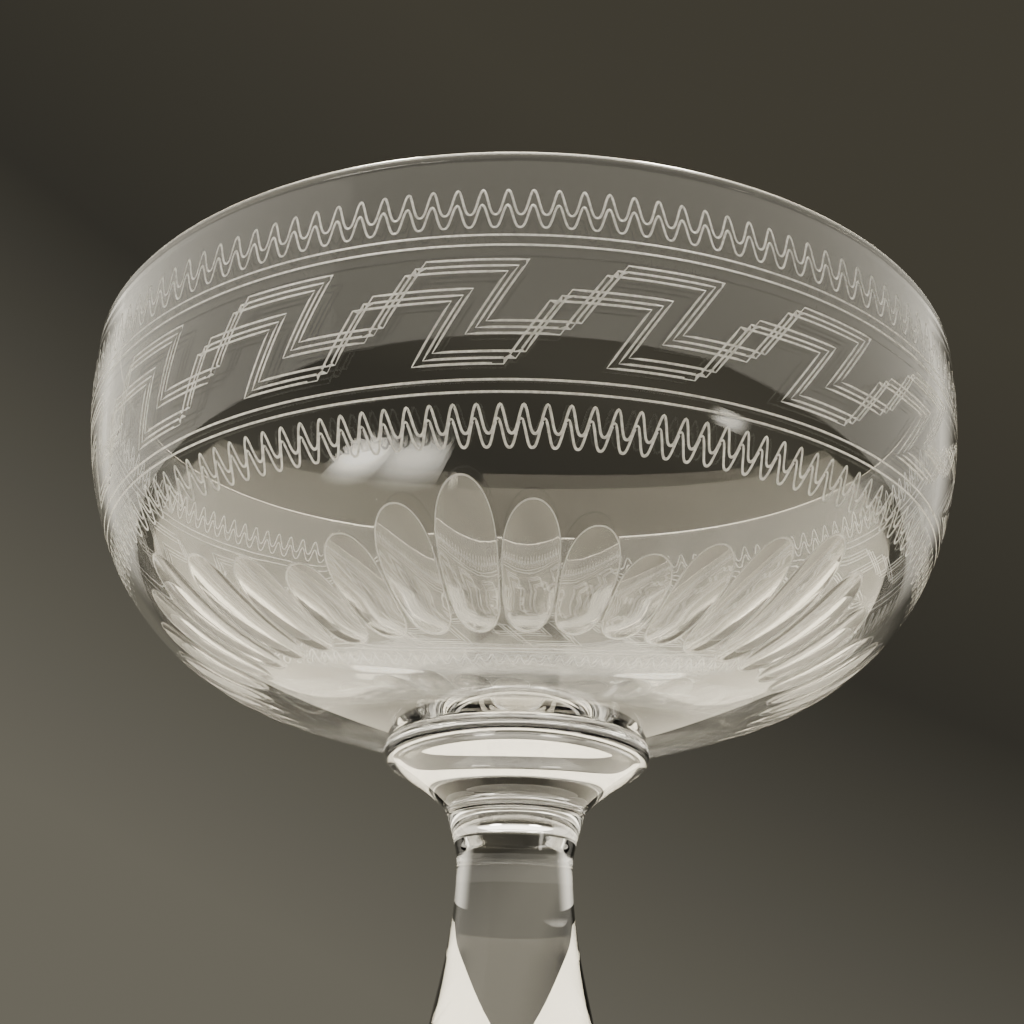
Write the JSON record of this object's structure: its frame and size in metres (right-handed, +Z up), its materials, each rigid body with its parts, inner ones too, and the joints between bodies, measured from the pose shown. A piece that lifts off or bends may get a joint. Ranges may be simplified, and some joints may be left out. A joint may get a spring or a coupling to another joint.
{
  "type": "champagne coupe",
  "caption": "Saucer-bowled champagne coupe in clear glass: cut flutes under the bowl, a collar, a solid baluster stem and a domed foot.",
  "frame": {"origin": "centre of the flat ring that the foot stands on", "axes": "+Z up along the glass's own axis; -Y towards the viewer; the nearest tall flute of the cut band is centred 7 degrees clockwise of it, seen from above"},
  "size_m": [0.0928, 0.0928, 0.122],
  "materials": {
    "clear_glass": "polished"
  },
  "bodies": {
    "root": {"bowl": "clear_glass", "collar": "clear_glass", "stem": "clear_glass", "foot": "clear_glass"}
  },
  "joints": []
}
